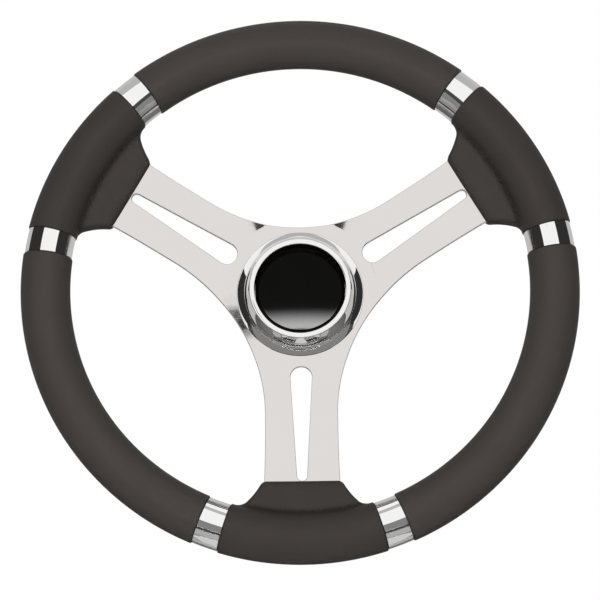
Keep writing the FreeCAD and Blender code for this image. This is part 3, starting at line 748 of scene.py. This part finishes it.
@dataclass
class SpokePlate:
    """The polished sheet spider: a flat seat, a soft bend and three slotted spokes."""

    node: str = "spoke_plate"
    rim: Rim = Rim()
    back: float = 36.0
    thickness: float = 3.0
    dish: float = 24.4
    bend_circle: float = 50.0
    bend_inside: float = 4.0
    half_width: float = 22.8
    root_radius: float = 44.2
    flare_start: float = 92.0
    flare_end: float = 123.0
    flare_half_width: float = 23.4
    arm_end: float = 152.0
    slot_root: tuple[float, float] = (54.2, 6.8)
    slot_tip: tuple[float, float] = (119.5, 3.1)
    bore: float = 17.5
    hole_circle: float = 23.5
    hole: float = 2.7
    holes: int = 6
    edge_round: float = 0.45
    arms: tuple[float, ...] = (30.0, 150.0, 270.0)
    fine_step: float = 1.4
    coarse_step: float = 2.5

    @property
    def tilt(self) -> float:
        """The slope of the spokes in radians, so that they aim at the ring's centre."""
        return math.atan((self.dish + self.thickness / 2) / (self.rim.spine - self.bend_circle))

    def turned(self, points: np.ndarray, degrees: float) -> np.ndarray:
        """Points of a plane turned about the wheel's axis."""
        cos, sin = math.cos(math.radians(degrees)), math.sin(math.radians(degrees))
        x, y = points[:, 0], points[:, 1]
        return np.stack([x * cos - y * sin, x * sin + y * cos], -1)

    def arm_side(self) -> np.ndarray:
        """One side of an arm lying along +X, from its end in to the valley's middle."""
        end_width = self.arm_end * self.flare_half_width / self.flare_end
        run, gain = self.flare_end - self.flare_start, self.flare_half_width - self.half_width
        radius = (run ** 2 + gain ** 2) / (2 * gain)
        flare_x = np.linspace(self.flare_end, self.flare_start, 16)
        flare_y = self.half_width + radius - np.sqrt(radius ** 2 - (flare_x - self.flare_start) ** 2)
        cos30 = math.cos(math.radians(30))
        valley = (self.root_radius * cos30 - self.half_width) / (1 - cos30)
        centre = (self.root_radius + valley) * np.array([0.5, math.sin(math.radians(60))])
        straight_x = np.linspace(self.flare_start, centre[0], 10)[1:]
        arc = arc_points((float(centre[0]), float(centre[1])), valley, 270, 240, 44)
        rows = [[(self.arm_end, end_width)], np.stack([flare_x, flare_y], -1),
                np.stack([straight_x, np.full(straight_x.shape, self.half_width)], -1), arc[1:]]
        return np.concatenate(rows)

    def outline(self) -> np.ndarray:
        """The whole outline, anticlockwise."""
        side = self.arm_side()
        mirrored = side[::-1] * (1, -1)
        loop = [self.turned(np.concatenate([mirrored[1:], side]), arm) for arm in self.arms]
        return np.concatenate(loop)

    def slot(self) -> np.ndarray:
        """The tapered slot of an arm along +X."""
        (root, root_size), (tip, tip_size) = self.slot_root, self.slot_tip
        lean = math.degrees(math.asin((root_size - tip_size) / (tip - root)))
        big = arc_points((root, 0), root_size, 90 - lean, 270 + lean, 40)
        small = arc_points((tip, 0), tip_size, -90 + lean, 90 - lean, 20)
        lower = np.linspace(big[-1], small[0], 30)[1:-1]
        upper = np.linspace(small[-1], big[0], 30)[1:-1]
        return np.concatenate([big, lower, small, upper])

    def loops(self) -> list[np.ndarray]:
        """The outline and every opening in the sheet, all with the metal on their left."""
        openings = [self.turned(self.slot(), arm)[::-1] for arm in self.arms]
        openings.append(arc_points((0, 0), self.bore, 360, 0, 121)[:-1])
        for number in range(self.holes):
            centre = self.turned(np.array([[self.hole_circle, 0]]), number * 360.0 / self.holes)[0]
            openings.append(arc_points((centre[0], centre[1]), self.hole, 360, 0, 25)[:-1])
        return [self.outline(), *[self.winding(loop) for loop in openings]]

    def winding(self, loop: np.ndarray) -> np.ndarray:
        """An opening's loop, turned clockwise if it isn't."""
        after = np.roll(loop, -1, axis=0)
        area = np.sum(loop[:, 0] * after[:, 1] - after[:, 0] * loop[:, 1])
        return loop if area < 0 else loop[::-1]

    def outward(self, loop: np.ndarray) -> np.ndarray:
        """The directions out of the metal at a loop's points."""
        along = np.roll(loop, -1, axis=0) - np.roll(loop, 1, axis=0)
        normal = np.stack([along[:, 1], -along[:, 0]], -1)
        return normal / np.linalg.norm(normal, axis=1, keepdims=True)

    def height(self, radius: np.ndarray, front: bool) -> tuple[np.ndarray, np.ndarray]:
        """Height and slope of a face of the sheet at given radii.

        Args:
            radius: Distances from the axis.
            front: Whether the driver's face is meant.

        Returns:
            The heights, and the tangents of the slopes.
        """
        lean = self.tilt
        bend = self.bend_inside if front else self.bend_inside + self.thickness
        base = self.back + (self.thickness if front else 0)
        middle = self.bend_inside + self.thickness / 2
        start = self.bend_circle - middle * math.tan(lean / 2)
        over = np.clip(radius - start, 0, bend * math.sin(lean))
        rise = bend - np.sqrt(bend ** 2 - over ** 2)
        slope = over / np.sqrt(bend ** 2 - over ** 2)
        beyond = np.maximum(radius - start - bend * math.sin(lean), 0)
        return base + rise + beyond * math.tan(lean), slope

    def fill_points(self) -> np.ndarray:
        """Points inside the sheet: close rings at the bend and wider ones elsewhere."""
        rings = [*np.arange(19.5, 48.5, 2.5), *np.linspace(49.2, 51.0, 10), *np.arange(53.0, 152.0, 2.5)]
        rows = []
        for place, radius in enumerate(rings):
            step = self.fine_step if abs(radius - self.bend_circle) < 1.1 else self.coarse_step
            count = int(2 * math.pi * radius / step)
            turn = (np.arange(count) + 0.5 * (place % 2)) * 2 * math.pi / count
            rows.append(np.stack([radius * np.cos(turn), radius * np.sin(turn)], -1))
        return np.concatenate(rows)

    def build(self) -> bpy.types.Object:
        """Build the sheet: both faces, and walls whose edges are softly rounded."""
        loops = self.loops()
        inset = [loop - self.outward(loop) * self.edge_round for loop in loops]
        starts = np.cumsum([0] + [len(loop) for loop in loops])
        edges = []
        for start, loop in zip(starts.tolist(), loops):
            edges += [(start + number, start + (number + 1) % len(loop)) for number in range(len(loop))]
        border = np.concatenate(inset)
        fill = self.fill_points()
        fill = fill[inside_loops(fill, inset, 1.0)]
        flat = np.concatenate([border, fill])
        cut = delaunay_2d_cdt([Vector(point) for point in flat.tolist()], edges, [], 0, 1e-6)
        places = np.array([list(point) for point in cut[0]])
        triangles = np.array([list(face) for face in cut[2]])
        keep = inside_loops(places[triangles].mean(axis=1), inset, 0.0)
        triangles = triangles[keep]
        source = {old: new for new, olds in enumerate(cut[3]) for old in olds}
        rim = [source[number] for number in range(len(border))]
        return self.stitch(places, triangles, rim, loops)

    def stitch(self, places: np.ndarray, triangles: np.ndarray, rim: list[int],
               loops: list[np.ndarray]) -> bpy.types.Object:
        """Join the two faces with walls.

        Args:
            places: Points of a face in the wheel's plane.
            triangles: The face's triangles.
            rim: The numbers of the points on the loops, loop after loop.
            loops: The loops of the walls.

        Returns:
            The new object.
        """
        radius = np.linalg.norm(places, axis=1)
        count = len(places)
        rows, normals = [], []
        for front in (True, False):
            height, slope = self.height(radius, front)
            rows.append(np.column_stack([places, height]))
            lean = -slope[:, None] * places / radius[:, None]
            normals.append(np.column_stack([lean, np.ones(count)]) * (1 if front else -1))
        wall = np.concatenate(loops)
        outward = np.concatenate([self.outward(loop) for loop in loops])
        wall_radius = np.linalg.norm(wall, axis=1)
        for front in (True, False):
            height, _ = self.height(wall_radius, front)
            rows.append(np.column_stack([wall, height - self.edge_round * (1 if front else -1)]))
            normals.append(np.column_stack([outward, np.zeros(len(wall))]))
        faces = [tuple(int(corner) for corner in face) for face in triangles]
        faces += [tuple(int(corner) + count for corner in face[::-1]) for face in triangles]
        front_wall, back_wall, start = 2 * count, 2 * count + len(wall), 0
        for loop in loops:
            for number in range(len(loop)):
                here, after = start + number, start + (number + 1) % len(loop)
                faces.append((rim[here], front_wall + here, front_wall + after, rim[after]))
                faces.append((front_wall + here, back_wall + here, back_wall + after, front_wall + after))
                faces.append((back_wall + here, rim[here] + count, rim[after] + count, back_wall + after))
            start += len(loop)
        return MeshMaker.add(f"{self.node}_dressed", world_points(np.concatenate(rows)), faces,
                             normals=world_directions(np.concatenate(normals)))

    def dress(self, finishes: Finishes) -> bpy.types.Object:
        """Build the sheet, polish it and let it stand for its solid."""
        return settle(self.build(), self.node, finishes.plate)


def inside_loops(points: np.ndarray, loops: list[np.ndarray], margin: float) -> np.ndarray:
    """Which points lie inside the first loop and outside the others.

    Args:
        points: Rows of two coordinates.
        loops: The outline, then the openings.
        margin: How far a point must stay from every loop's points.

    Returns:
        One truth value for each point.
    """
    inside = np.zeros(len(points), bool)
    clear = np.ones(len(points), bool)
    for loop in loops:
        after = np.roll(loop, -1, axis=0)
        for (x0, y0), (x1, y1) in zip(loop, after):
            spans = (y0 > points[:, 1]) != (y1 > points[:, 1])
            if spans.any():
                crossing = x0 + (points[:, 1] - y0) / (y1 - y0 + 1e-30) * (x1 - x0)
                inside ^= spans & (points[:, 0] < crossing)
            if margin > 0:
                clear &= np.hypot(points[:, 0] - x0, points[:, 1] - y0) > margin
    return inside & clear


def bowed_curve(start: tuple[float, float], finish: tuple[float, float], depth: float,
                count: int) -> list[tuple[float, float]]:
    """Points along an arc from one point to another, without the first.

    Args:
        start: The first point's radius and height.
        finish: The last point's radius and height.
        depth: How far the arc bows from its chord, to the right of its way when positive.
        count: How many points to make.

    Returns:
        The points as pairs.
    """
    first, last = np.array(start), np.array(finish)
    chord = last - first
    length = float(np.linalg.norm(chord))
    radius = length ** 2 / (8 * abs(depth)) + abs(depth) / 2
    side = np.array([-chord[1], chord[0]]) / length * math.copysign(1, depth)
    centre = (first + last) / 2 + side * (radius - abs(depth))
    begin = math.atan2(first[1] - centre[1], first[0] - centre[0])
    turn = math.copysign(2 * math.asin(length / 2 / radius), depth)
    angles = begin + turn * np.arange(1, count + 1) / count
    points = np.stack([centre[0] + radius * np.cos(angles), centre[1] + radius * np.sin(angles)], axis=-1)
    return [tuple(pair) for pair in points.tolist()]


def lathe(name: str, profile: list[tuple[float, float]], segments: int,
          crease: float) -> bpy.types.Object:
    """Turn a profile about the wheel's axis.

    Args:
        name: The new object's name.
        profile: Pairs of radius and height; a profile that starts on the axis also ends there.
        segments: The number of steps round the axis.
        crease: The angle above which an edge stays sharp.

    Returns:
        The new object.
    """
    on_axis = profile[0][0] == 0
    rings = profile[1:-1] if on_axis else profile
    degrees = np.arange(segments) * 360.0 / segments
    rows = [polar_point(np.full(segments, radius), degrees, height) for radius, height in rings]
    points = np.concatenate(rows)
    faces = MeshMaker.grid_faces(len(rings), segments, not on_axis, True)
    if on_axis:
        poles = np.array([(0, 0, profile[0][1]), (0, 0, profile[-1][1])])
        points = np.concatenate([points, poles])
        first, last = len(points) - 2, len(points) - 1
        below = (len(rings) - 1) * segments
        for number in range(segments):
            after = (number + 1) % segments
            faces.append((first, after, number))
            faces.append((last, below + number, below + after))
        faces = [face[::-1] for face in faces]
    return MeshMaker.add(name, world_points(points), faces, crease=crease)


@dataclass
class HubBezel:
    """The bright flared ring round the cap."""

    node: str = "hub_bezel"
    seat: float = 39.0
    opening: float = 17.5
    foot: float = 40.4
    foot_height: float = 0.8
    foot_hollow: float = 0.1
    crease: tuple[float, float] = (36.5, 2.3)
    wall_bulge: float = 1.0
    lip: tuple[float, float] = (32.3, 16.0)
    lip_round: float = 0.6
    mouth: float = 28.9
    mouth_round: float = 0.4
    floor: float = 2.4
    edge_break: float = 0.15
    segments: int = 288

    def profile(self) -> list[tuple[float, float]]:
        """Radius and height round the bezel."""
        lip_radius, lip_height = self.lip
        lip_side = (lip_radius, lip_height - self.lip_round)
        lip_top = (lip_radius - self.lip_round, lip_height)
        points = [(self.opening, 0.0), (self.foot - self.edge_break, 0.0), (self.foot, self.edge_break)]
        points += [(self.foot, self.foot_height - self.edge_break),
                   (self.foot - self.edge_break, self.foot_height)]
        points += bowed_curve(points[-1], self.crease, -self.foot_hollow, 14)
        points += bowed_curve(points[-1], lip_side, self.wall_bulge, 26)
        quarter = 1 - math.sqrt(0.5)
        points += bowed_curve(points[-1], lip_top, self.lip_round * quarter, 12)
        points += [(self.mouth + self.mouth_round, lip_height)]
        mouth_side = (self.mouth, lip_height - self.mouth_round)
        points += bowed_curve(points[-1], mouth_side, self.mouth_round * quarter, 8)
        points += [(self.mouth, self.floor), (self.opening, self.floor)]
        return [(radius, self.seat + height) for radius, height in points]

    def dress(self, finishes: Finishes) -> bpy.types.Object:
        """Turn the bezel, polish it and let it stand for its solid."""
        piece = lathe(f"{self.node}_dressed", self.profile(), self.segments, 20.0)
        return settle(piece, self.node, finishes.bezel)


@dataclass
class CentreCap:
    """The plain black push-in cap."""

    node: str = "centre_cap"
    seat: float = 41.4
    edge: float = 28.65
    rim_height: float = 6.6
    bevel_inner: float = 26.3
    bevel_rise: float = 1.1
    dome_rise: float = 2.9
    face: float = 2.4
    skirt: float = 1.8
    edge_break: float = 0.3
    segments: int = 256

    def sagitta(self) -> float:
        """How far half of the dome's arc bows from its chord."""
        radius = (self.bevel_inner ** 2 + self.dome_rise ** 2) / (2 * self.dome_rise)
        half_chord = math.hypot(self.bevel_inner, self.dome_rise) / 2
        return radius - math.sqrt(radius ** 2 - half_chord ** 2)

    def profile(self) -> list[tuple[float, float]]:
        """Radius and height from the dome's top round to the middle of the underside."""
        crease = self.rim_height + self.bevel_rise
        hollow = crease - self.face
        points = [(0.0, crease + self.dome_rise)]
        points += bowed_curve(points[0], (self.bevel_inner, crease), -self.sagitta(), 48)
        points += [(self.edge - self.edge_break, self.rim_height),
                   (self.edge, self.rim_height - self.edge_break), (self.edge, 0.0)]
        points += [(self.edge - self.skirt, 0.0), (self.edge - self.skirt, hollow)]
        points += [(0.0, hollow)]
        return [(radius, self.seat + height) for radius, height in points]

    def dress(self, finishes: Finishes) -> bpy.types.Object:
        """Turn the cap, give it its gloss and let it stand for its solid."""
        piece = lathe(f"{self.node}_dressed", self.profile(), self.segments, 22.0)
        return settle(piece, self.node, finishes.cap)


class HiddenMetal:
    """Solids that are shown as they are packed: the hub, its screws and the rim's ring."""

    def dress(self, nodes: dict[str, bpy.types.Object], finishes: Finishes) -> list[bpy.types.Object]:
        """Give each solid its own material."""
        pieces = []
        for name, material in (("hub_boss", finishes.hub), ("hub_screws", finishes.steel),
                               ("rim_ring", finishes.steel)):
            piece = nodes[name]
            piece.data.materials.clear()
            piece.data.materials.append(material)
            pieces.append(piece)
        return pieces


@dataclass
class StudioCard:
    """A card round the wheel that only mirrors see, given by where it lies as seen from the hub.

    Attributes:
        name: The card's name.
        sides: Its left and right edges, in degrees to the right of straight ahead.
        levels: Its lower and upper edges, in degrees above the horizon.
        shade: How bright it is.
        low_shade: How bright it is at its lower edge, or None for the same.
        distance: How far it is, in metres.
        only: The one object that it shines on, or None for all. For the others it is clear.
    """

    name: str
    sides: tuple[float, float]
    levels: tuple[float, float]
    shade: float
    low_shade: float | None = None
    distance: float = 2.2
    only: str | None = None
    steps: int = 12

    def build(self) -> None:
        """Build the card as a piece of a sphere with its own even or fading glow."""
        sides = np.radians(np.linspace(*self.sides, self.steps + 1))
        levels = np.radians(np.linspace(*self.levels, self.steps + 1))
        side, level = (part.ravel() for part in np.meshgrid(sides, levels))
        flat = np.cos(level)
        points = np.stack([np.sin(side) * flat, -np.cos(side) * flat, np.sin(level)], axis=-1)
        count = self.steps + 1
        faces = MeshMaker.grid_faces(count, count, False, False)
        mesh = bpy.data.meshes.new(self.name)
        mesh.from_pydata((points * self.distance).tolist(), [], faces)
        glow = mesh.attributes.new("glow", "FLOAT", "POINT")
        rise = np.linspace(0, 1, count)
        share = np.repeat(rise * rise * (3 - 2 * rise), count)
        low = self.shade if self.low_shade is None else self.low_shade
        glow.data.foreach_set("value", (low + (self.shade - low) * share).astype(np.float32))
        card = new_object(self.name, mesh)
        mesh.materials.append(self.glowing())
        card.visible_camera = False
        card.visible_diffuse = False
        card.visible_shadow = False
        if self.only is not None:
            lit = bpy.data.collections.new(f"{self.name}_lit")
            lit.objects.link(bpy.data.objects[self.only])
            card.light_linking.receiver_collection = lit

    def glowing(self) -> bpy.types.Material:
        """A material that shines by the mesh's own glow."""
        sheet = NodeSheet.blank(self.name)
        sheet.material.node_tree.nodes.clear()
        glow = sheet.node("ShaderNodeAttribute", attribute_name="glow")
        light = sheet.node("ShaderNodeEmission")
        sheet.join(glow.outputs["Fac"], light.inputs["Strength"])
        shine = light.outputs["Emission"]
        if self.only is not None:
            both = sheet.node("ShaderNodeAddShader")
            sheet.join(shine, both.inputs[0])
            sheet.join(sheet.node("ShaderNodeBsdfTransparent").outputs["BSDF"], both.inputs[1])
            shine = both.outputs["Shader"]
        sheet.join(shine, sheet.node("ShaderNodeOutputMaterial").inputs["Surface"])
        return sheet.material


@dataclass
class SoftLamp:
    """A soft rectangular lamp aimed at the wheel."""

    name: str
    place: tuple[float, float, float]
    size: tuple[float, float]
    power: float
    target: tuple[float, float, float] = (0.0, -0.05, 0.0)

    def build(self) -> None:
        """Build the lamp, aim it at the wheel's middle and keep it out of the mirrors."""
        light = bpy.data.lights.new(self.name, "AREA")
        light.shape = "RECTANGLE"
        light.size, light.size_y = self.size
        light.energy = self.power
        lamp = new_object(self.name, light)
        lamp.location = self.place
        lamp.rotation_mode = "QUATERNION"
        aim = Vector(self.target) - Vector(self.place)
        lamp.rotation_quaternion = aim.to_track_quat("-Z", "Y")
        lamp.visible_glossy = False


@dataclass
class Studio:
    """The camera, the pale floor, the white surroundings and the lamps."""

    camera_place: tuple[float, float, float] = (0.004990, -1.271476, -0.305096)
    camera_turn: tuple[float, float, float] = (103.73138, 0.61242, 0.39133)
    lens: float = 119.328
    sensor: float = 36.0
    floor_level: float = -0.75
    floor_size: float = 14.0
    floor_glow: float = 0.7
    fill: float = 0.02

    def build(self) -> None:
        """Build the whole studio."""
        self.camera()
        self.surroundings()
        self.floor()
        for card in self.cards() + self.cap_cards():
            card.build()
        for lamp in self.lamps():
            lamp.build()
        bpy.context.scene.view_settings.view_transform = "Standard"

    def camera(self) -> None:
        """Set up the camera where the photograph was taken from."""
        data = bpy.data.cameras.new("camera")
        data.lens, data.sensor_width = self.lens, self.sensor
        data.clip_start, data.clip_end = 0.05, 40
        camera = new_object("camera", data)
        camera.location = self.camera_place
        camera.rotation_euler = [math.radians(part) for part in self.camera_turn]
        bpy.context.scene.camera = camera

    def surroundings(self) -> None:
        """White behind the wheel and in its mirrors, and a weaker even fill on it."""
        world = bpy.data.worlds.new("surroundings")
        bpy.context.scene.world = world
        world.use_nodes = True
        tree = world.node_tree
        tree.nodes.clear()
        path = tree.nodes.new("ShaderNodeLightPath")
        mix = tree.nodes.new("ShaderNodeMixShader")
        seen = path.outputs["Is Camera Ray"]
        for kind in ("Is Glossy Ray", "Is Transmission Ray"):
            either = tree.nodes.new("ShaderNodeMath")
            either.operation = "MAXIMUM"
            tree.links.new(seen, either.inputs[0])
            tree.links.new(path.outputs[kind], either.inputs[1])
            seen = either.outputs[0]
        tree.links.new(seen, mix.inputs[0])
        for place, strength in ((1, self.fill), (2, 1.0)):
            shine = tree.nodes.new("ShaderNodeBackground")
            shine.inputs["Color"].default_value = (1, 1, 1, 1)
            shine.inputs["Strength"].default_value = strength
            tree.links.new(shine.outputs[0], mix.inputs[place])
        output = tree.nodes.new("ShaderNodeOutputWorld")
        tree.links.new(mix.outputs[0], output.inputs["Surface"])

    def floor(self) -> None:
        """Lay the plain pale floor, well under the wheel and nearly as bright as the white behind it."""
        half = self.floor_size / 2
        mesh = bpy.data.meshes.new("floor")
        corners = [(-half, -half, 0), (half, -half, 0), (half, half, 0), (-half, half, 0)]
        mesh.from_pydata(corners, [], [(0, 1, 2, 3)])
        floor = new_object("floor", mesh)
        floor.location = (0, 0, self.floor_level)
        sheet = NodeSheet.blank("pale_floor")
        sheet.shader.inputs["Base Color"].default_value = (0.86, 0.86, 0.85, 1)
        sheet.shader.inputs["Roughness"].default_value = 0.9
        sheet.shader.inputs["Emission Color"].default_value = (1, 1, 1, 1)
        glow = sheet.node("ShaderNodeMath", operation="MULTIPLY")
        glow.inputs[1].default_value = self.floor_glow
        sheet.join(sheet.node("ShaderNodeLightPath").outputs["Is Camera Ray"], glow.inputs[0])
        sheet.join(glow.outputs[0], sheet.shader.inputs["Emission Strength"])
        mesh.materials.append(sheet.material)

    def cards(self) -> list[StudioCard]:
        """What the bright metal mirrors: dark sides, a ground in bands, a pale back and ceiling."""
        return [
            StudioCard("dark_left", (-104, -36), (-10, 29), 0.03),
            StudioCard("dark_right", (36, 104), (-10, 29), 0.03),
            StudioCard("grey_front", (-45, 45), (-37, -12), 0.24, distance=1.0),
            StudioCard("dark_ground", (-52, 52), (-46, -38), 0.07, distance=0.95),
            StudioCard("grey_ground", (-180, 180), (-60, -48), 0.45, distance=0.85),
            StudioCard("pale_ground", (-180, 180), (-90, -62), 0.65, distance=0.7),
            StudioCard("pale_back", (104, 256), (-55, 62), 0.55, distance=2.6),
            StudioCard("ceiling", (-180, 180), (47, 62), 0.5, distance=2.8),
            StudioCard("patch", (-3.3, -2.2), (12.05, 13.15), 0.03, distance=3.0),
        ]

    @staticmethod
    def cap_cards() -> list[StudioCard]:
        """Glowing cards that only the gloss cap mirrors, in the lower part of its dome."""
        cap = "centre_cap_dressed"
        return [
            StudioCard("low_fade", (-36, 36), (-11, 2), 0.0, 112.0, distance=2.0, only=cap),
            StudioCard("low_glow", (-36, 36), (-30, -11), 112.0, distance=2.0, only=cap),
        ]

    def lamps(self) -> list[SoftLamp]:
        """The lamps: the main one near the camera, and a weak one behind the wheel."""
        return [
            SoftLamp("key", (-0.10, -1.9, -0.10), (0.7, 0.5), 34.0),
            SoftLamp("behind", (0.9, 1.8, 1.3), (1.2, 1.2), 6.0),
        ]


def main() -> None:
    """Build and dress the wheel from the hub outwards, then set up the studio."""
    logging.basicConfig(level=logging.INFO, format="%(name)s: %(message)s", stream=sys.stdout)
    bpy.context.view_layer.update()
    finishes = Finishes()
    pieces = HiddenMetal().dress(frame["nodes"], finishes)
    for part in (SpokePlate(), HubBezel(), CentreCap()):
        pieces.append(part.dress(finishes))
    for side, angle in (("bottom", -90.0), ("right", 30.0), ("left", 150.0)):
        pieces.append(SpokeGrip(f"spoke_grip_{side}", angle).dress(finishes))
    for side, angle in (("top", 90.0), ("lower_right", -30.0), ("lower_left", -150.0)):
        pieces.append(LongGrip(f"grip_{side}", angle).dress(finishes))
    for side, arm, turn in (("bottom_right", -90, 1), ("bottom_left", -90, -1), ("top_right", 30, 1),
                            ("right", 30, -1), ("left", 150, 1), ("top_left", 150, -1)):
        pieces.append(TrimSleeve(f"sleeve_{side}", arm + turn * Rim().sleeve_turn).dress(finishes))
    for piece in pieces:
        log.info("%s: %d faces", piece.name, len(piece.data.polygons))
    Studio().build()


if __name__ == "__main__":
    main()
